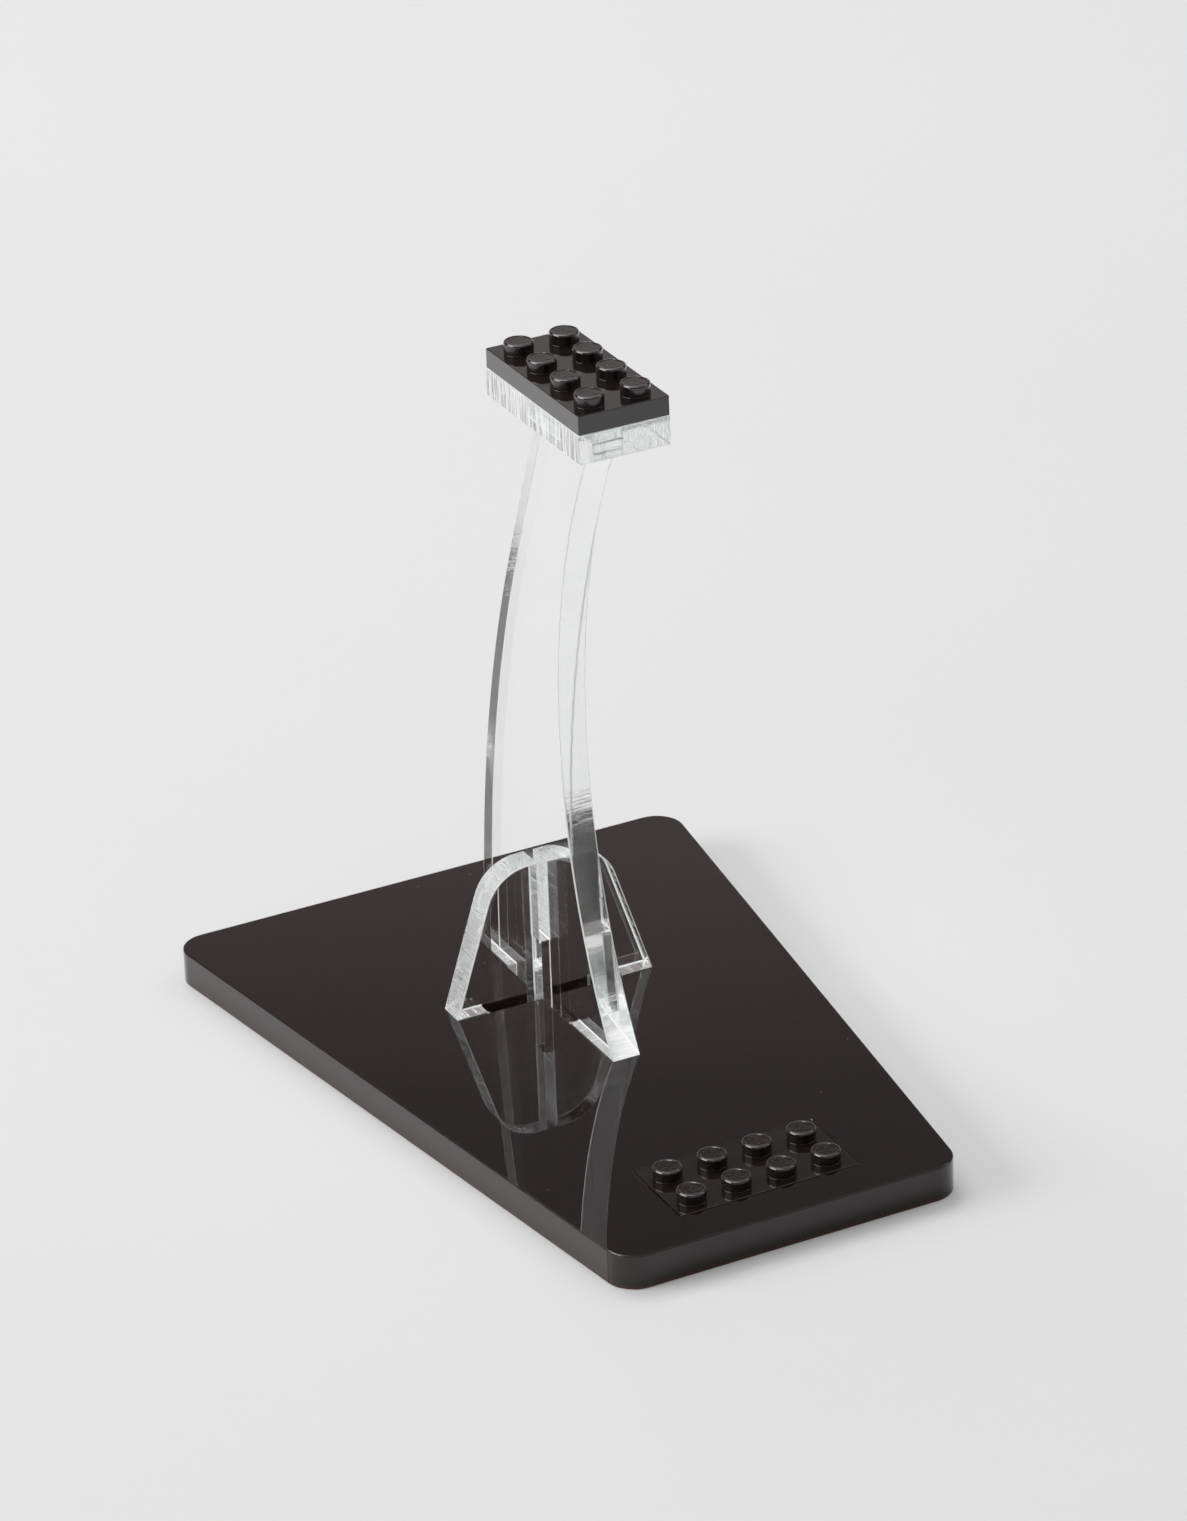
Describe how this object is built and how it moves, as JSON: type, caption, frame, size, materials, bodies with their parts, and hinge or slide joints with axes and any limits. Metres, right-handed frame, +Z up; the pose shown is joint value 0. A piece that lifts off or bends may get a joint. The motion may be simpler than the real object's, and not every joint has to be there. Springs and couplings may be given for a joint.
{
  "type": "display stand",
  "caption": "Display stand: tapered flat base with an inlaid stud plate, a clear curved upright held by a clear cross brace, and a stud plate on a clear head plate.",
  "frame": {"origin": "centre of the base's underside, on the plane the stand rests on", "axes": "+Z up, +Y from the narrow front edge to the wide back edge, X = 0 the plane of symmetry"},
  "size_m": [0.0946, 0.131, 0.1254],
  "materials": {
    "black_sheet": "gloss",
    "stud_plastic": "gloss",
    "clear_sheet": "polished"
  },
  "bodies": {
    "root": {"base_plate": "black_sheet", "base_stud_plate": "stud_plastic", "upright": "clear_sheet", "cross_brace": "clear_sheet", "head_plate": "clear_sheet", "head_stud_plate": "stud_plastic"}
  },
  "joints": []
}
